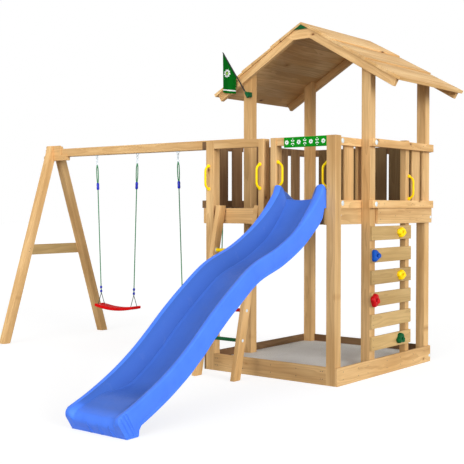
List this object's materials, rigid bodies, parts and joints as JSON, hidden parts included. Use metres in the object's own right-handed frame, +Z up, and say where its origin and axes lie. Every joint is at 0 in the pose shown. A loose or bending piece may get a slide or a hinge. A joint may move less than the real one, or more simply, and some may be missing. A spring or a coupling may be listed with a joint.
{
  "type": "play tower with slide and swings",
  "caption": "Timber play tower with a raised deck, gabled roof, blue wave slide, ladder, climbing wall, sandbox, and a beam with swings on an A-frame.",
  "frame": {"origin": "centre of the foot of the front right corner post, on the ground", "axes": "+Z up, +Y towards the back, +X towards the right, along the front; the slide runs down towards -Y and the swing beam runs out towards -X"},
  "size_m": [4.6354, 4.1846, 3.19],
  "materials": {
    "timber": "planed softwood, satin",
    "plank_timber": "planed softwood, darker, satin",
    "slide_plastic": "moulded, semi-gloss",
    "yellow_plastic": "moulded, semi-gloss",
    "blue_plastic": "moulded, semi-gloss",
    "red_plastic": "moulded, semi-gloss",
    "green_plastic": "moulded, semi-gloss",
    "seat_plastic": "moulded, satin",
    "banner_board": "printed, satin",
    "flag_cloth": "printed cloth",
    "black_plastic": "satin",
    "swing_rope": "braided",
    "sand": "loose, matt"
  },
  "bodies": {
    "frame": {"banner": "banner_board", "climbing_wall": "plank_timber", "deck": "timber", "flag": "flag_cloth", "flagpole": "black_plastic", "handle_climbing_stud": "yellow_plastic", "handle_front_left": "yellow_plastic", "handle_front_right": "yellow_plastic", "handle_ladder_post": "yellow_plastic", "handle_slide_post": "yellow_plastic", "hold_blue": "blue_plastic", "hold_green": "green_plastic", "hold_red": "red_plastic", "hold_yellow_lower": "yellow_plastic", "hold_yellow_upper": "yellow_plastic", "joist_back": "timber", "joist_front": "timber", "joist_left": "timber", "joist_right": "timber", "ladder_stringer_left": "timber", "ladder_stringer_right": "timber", "post_front_left": "timber", "post_front_right": "timber", "post_ladder": "timber", "post_slide": "timber", "rail_over_ladder": "timber", "rail_over_slide": "timber", "railing_back": "timber", "railing_left": "timber", "railing_right_front": "timber", "railing_right_rear": "timber", "roof_post_back_left": "timber", "roof_post_back_right": "timber", "roof_post_front_left": "timber", "roof_post_front_right": "timber", "roof_slope_left": "timber", "roof_slope_right": "timber", "roof_truss_back": "timber", "roof_truss_front": "timber", "rung_blue": "blue_plastic", "rung_green": "green_plastic", "rung_red": "red_plastic", "rung_yellow": "yellow_plastic", "sand": "sand", "sandbox_board_back": "timber", "sandbox_board_front": "timber", "sandbox_board_left": "timber", "sandbox_board_right": "timber", "slide": "slide_plastic", "swing_beam": "timber", "swing_crossbar": "timber", "swing_leg_back": "timber", "swing_leg_front": "timber", "swing_saddle": "timber"},
    "swing_1": {"swing_rope_1_left": "swing_rope", "swing_rope_1_right": "swing_rope", "swing_seat_1": "seat_plastic"},
    "swing_2": {"swing_rope_2_left": "swing_rope", "swing_rope_2_right": "swing_rope", "swing_seat_2": "seat_plastic"}
  },
  "joints": [
    {"name": "swing_1_hinge", "type": "hinge", "parent": "frame", "child": "swing_1", "pos_m": [-3.135, 0.568, 2.043], "axis": [1, 0, 0], "range_deg": [-60, 60]},
    {"name": "swing_2_hinge", "type": "hinge", "parent": "frame", "child": "swing_2", "pos_m": [-1.935, 0.568, 2.043], "axis": [1, 0, 0], "range_deg": [-60, 60]}
  ]
}
